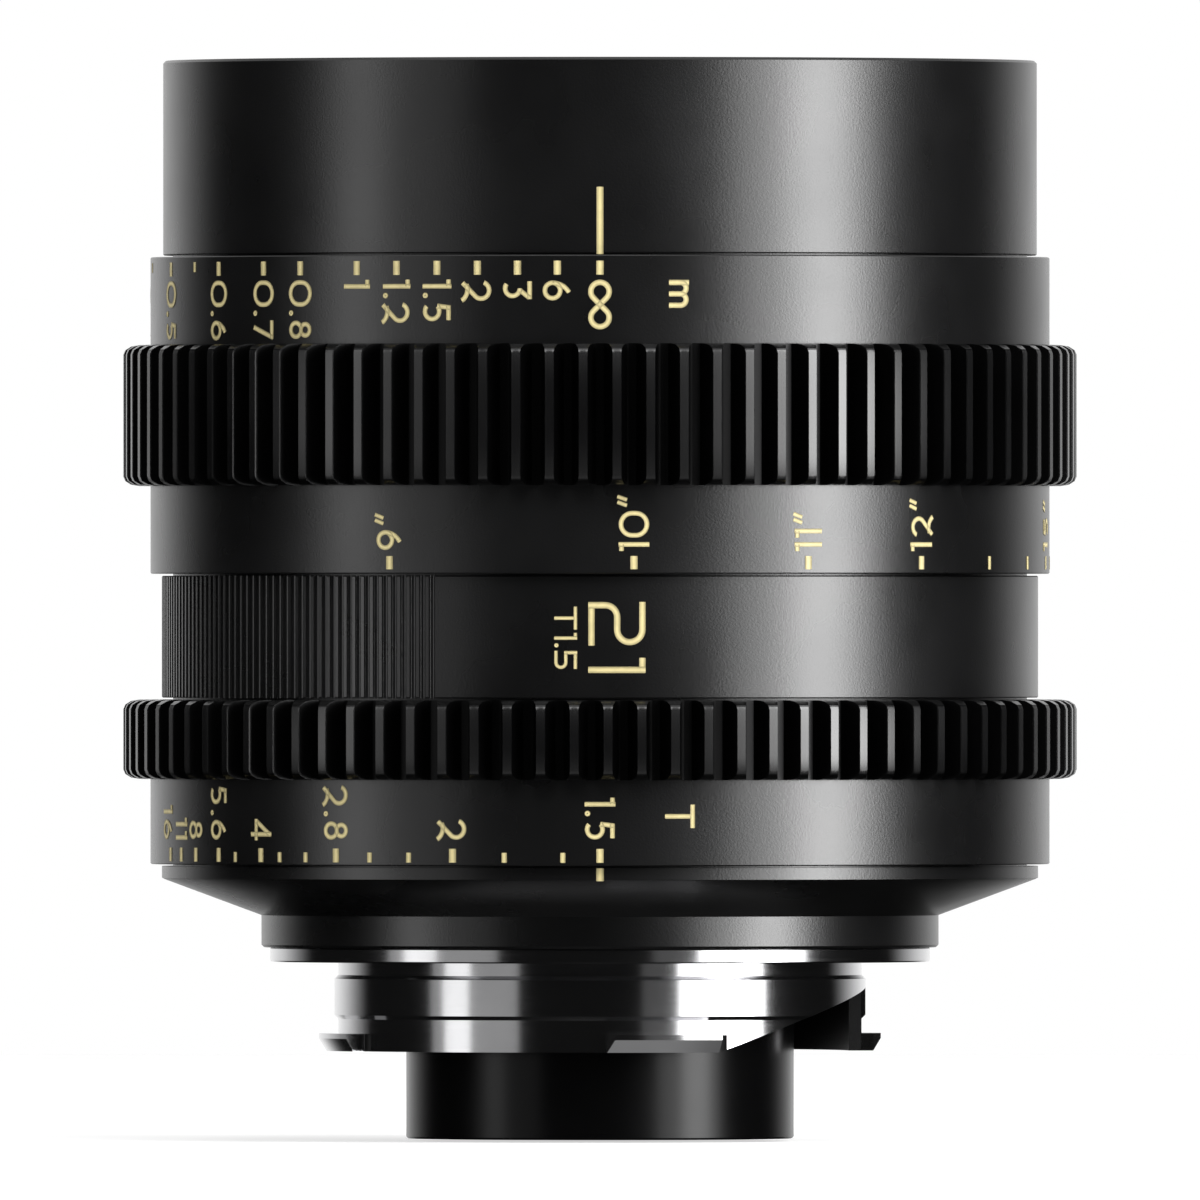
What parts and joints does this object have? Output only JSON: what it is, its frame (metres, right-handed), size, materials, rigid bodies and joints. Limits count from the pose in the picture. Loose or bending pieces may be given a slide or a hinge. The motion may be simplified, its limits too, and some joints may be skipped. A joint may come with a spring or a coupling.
{
  "type": "cinema prime lens",
  "caption": "Manual cinema prime lens with geared focus and iris rings, a reeded grip barrel, a sliding optical block, a bladed iris and a lugged bayonet.",
  "frame": {"origin": "centre of the flange face that seats on the camera", "axes": "+Z along the optical axis towards the front of the lens, -Y towards the side with the index marks, +X to the right seen from there"},
  "size_m": [0.0728, 0.0728, 0.0823],
  "materials": {
    "black_barrel": "black anodised, fine bead-blasted grain",
    "black_ring": "black anodised, fine bead-blasted grain",
    "matt_black": "matt black anodised",
    "satin_black": "smooth satin black anodised",
    "inner_aluminium": "machined, dark anodised",
    "brass": "machined",
    "steel": "machined",
    "chromed_bayonet": "satin chrome on brass",
    "coated_glass": "polished, coated",
    "blade": "matt black coated steel leaf"
  },
  "bodies": {
    "barrel": {"main_tube": "inner_aluminium", "grip_barrel": "black_barrel", "front_barrel": "black_barrel", "front_baffle": "matt_black", "rear_cover": "black_barrel", "bayonet_mount": "chromed_bayonet", "mount_screws": "steel", "rear_shroud": "satin_black", "guide_keys": "brass", "helicoid_retainer": "inner_aluminium"},
    "focus": {"focus_ring": "black_ring", "focus_drive_key": "brass", "helicoid_ring": "brass"},
    "optical_block": {"carrier": "inner_aluminium", "front_cell": "matt_black", "iris_cover": "inner_aluminium", "iris_base": "inner_aluminium", "rear_cell": "matt_black", "front_element": "coated_glass", "second_element": "coated_glass", "third_element": "coated_glass", "fourth_element": "coated_glass", "fifth_element": "coated_glass", "sixth_element": "coated_glass", "seventh_element": "coated_glass", "eighth_element": "coated_glass", "rear_element": "coated_glass", "spacer_ring_1": "matt_black", "spacer_ring_2": "matt_black", "spacer_ring_3": "matt_black", "spacer_ring_4": "matt_black", "front_retaining_ring": "matt_black", "doublet_retaining_ring": "matt_black", "rear_retaining_ring": "matt_black"},
    "iris": {"iris_ring": "black_ring", "iris_drive_pin": "steel"},
    "actuator": {"iris_actuator": "inner_aluminium"},
    "blade_01": {"iris_blade_01": "blade"},
    "blade_02": {"iris_blade_02": "blade"},
    "blade_03": {"iris_blade_03": "blade"},
    "blade_04": {"iris_blade_04": "blade"},
    "blade_05": {"iris_blade_05": "blade"},
    "blade_06": {"iris_blade_06": "blade"},
    "blade_07": {"iris_blade_07": "blade"},
    "blade_08": {"iris_blade_08": "blade"},
    "blade_09": {"iris_blade_09": "blade"},
    "blade_10": {"iris_blade_10": "blade"},
    "blade_11": {"iris_blade_11": "blade"},
    "blade_12": {"iris_blade_12": "blade"}
  },
  "joints": [
    {"name": "focus_turn", "type": "hinge", "parent": "barrel", "child": "focus", "pos_m": [0, 0, 0.0417], "axis": [0, 0, 1], "range_deg": [0, 210]},
    {"name": "block_slide", "type": "slide", "parent": "barrel", "child": "optical_block", "axis": [0, 0, 1], "range_m": [0, 0.0024]},
    {"name": "iris_turn", "type": "hinge", "parent": "barrel", "child": "iris", "pos_m": [0, 0, 0.0137], "axis": [0, 0, 1], "range_deg": [0, 72.5]},
    {"name": "actuator_turn", "type": "hinge", "parent": "optical_block", "child": "actuator", "pos_m": [0, 0, 0.0225], "axis": [0, 0, 1], "range_deg": [0, 72.5]},
    {"name": "blade_01_turn", "type": "hinge", "parent": "optical_block", "child": "blade_01", "pos_m": [0.019, 0, 0.02], "axis": [0, 0, 1], "range_deg": [0, 35]},
    {"name": "blade_02_turn", "type": "hinge", "parent": "optical_block", "child": "blade_02", "pos_m": [0.01645, 0.0095, 0.02], "axis": [0, 0, 1], "range_deg": [0, 35]},
    {"name": "blade_03_turn", "type": "hinge", "parent": "optical_block", "child": "blade_03", "pos_m": [0.0095, 0.01645, 0.02], "axis": [0, 0, 1], "range_deg": [0, 35]},
    {"name": "blade_04_turn", "type": "hinge", "parent": "optical_block", "child": "blade_04", "pos_m": [0, 0.019, 0.02], "axis": [0, 0, 1], "range_deg": [0, 35]},
    {"name": "blade_05_turn", "type": "hinge", "parent": "optical_block", "child": "blade_05", "pos_m": [-0.0095, 0.01645, 0.02], "axis": [0, 0, 1], "range_deg": [0, 35]},
    {"name": "blade_06_turn", "type": "hinge", "parent": "optical_block", "child": "blade_06", "pos_m": [-0.01645, 0.0095, 0.02], "axis": [0, 0, 1], "range_deg": [0, 35]},
    {"name": "blade_07_turn", "type": "hinge", "parent": "optical_block", "child": "blade_07", "pos_m": [-0.019, 0, 0.02], "axis": [0, 0, 1], "range_deg": [0, 35]},
    {"name": "blade_08_turn", "type": "hinge", "parent": "optical_block", "child": "blade_08", "pos_m": [-0.01645, -0.0095, 0.02], "axis": [0, 0, 1], "range_deg": [0, 35]},
    {"name": "blade_09_turn", "type": "hinge", "parent": "optical_block", "child": "blade_09", "pos_m": [-0.0095, -0.01645, 0.02], "axis": [0, 0, 1], "range_deg": [0, 35]},
    {"name": "blade_10_turn", "type": "hinge", "parent": "optical_block", "child": "blade_10", "pos_m": [0, -0.019, 0.02], "axis": [0, 0, 1], "range_deg": [0, 35]},
    {"name": "blade_11_turn", "type": "hinge", "parent": "optical_block", "child": "blade_11", "pos_m": [0.0095, -0.01645, 0.02], "axis": [0, 0, 1], "range_deg": [0, 35]},
    {"name": "blade_12_turn", "type": "hinge", "parent": "optical_block", "child": "blade_12", "pos_m": [0.01645, -0.0095, 0.02], "axis": [0, 0, 1], "range_deg": [0, 35]}
  ],
  "couplings": [
    {"joint": "focus_turn", "follows": "block_slide", "rad_per_m": 1527.2},
    {"joint": "actuator_turn", "follows": "iris_turn", "ratio": 1},
    {"joint": "blade_01_turn", "follows": "iris_turn", "ratio": 0.48275},
    {"joint": "blade_02_turn", "follows": "iris_turn", "ratio": 0.48275},
    {"joint": "blade_03_turn", "follows": "iris_turn", "ratio": 0.48275},
    {"joint": "blade_04_turn", "follows": "iris_turn", "ratio": 0.48275},
    {"joint": "blade_05_turn", "follows": "iris_turn", "ratio": 0.48275},
    {"joint": "blade_06_turn", "follows": "iris_turn", "ratio": 0.48275},
    {"joint": "blade_07_turn", "follows": "iris_turn", "ratio": 0.48275},
    {"joint": "blade_08_turn", "follows": "iris_turn", "ratio": 0.48275},
    {"joint": "blade_09_turn", "follows": "iris_turn", "ratio": 0.48275},
    {"joint": "blade_10_turn", "follows": "iris_turn", "ratio": 0.48275},
    {"joint": "blade_11_turn", "follows": "iris_turn", "ratio": 0.48275},
    {"joint": "blade_12_turn", "follows": "iris_turn", "ratio": 0.48275}
  ]
}
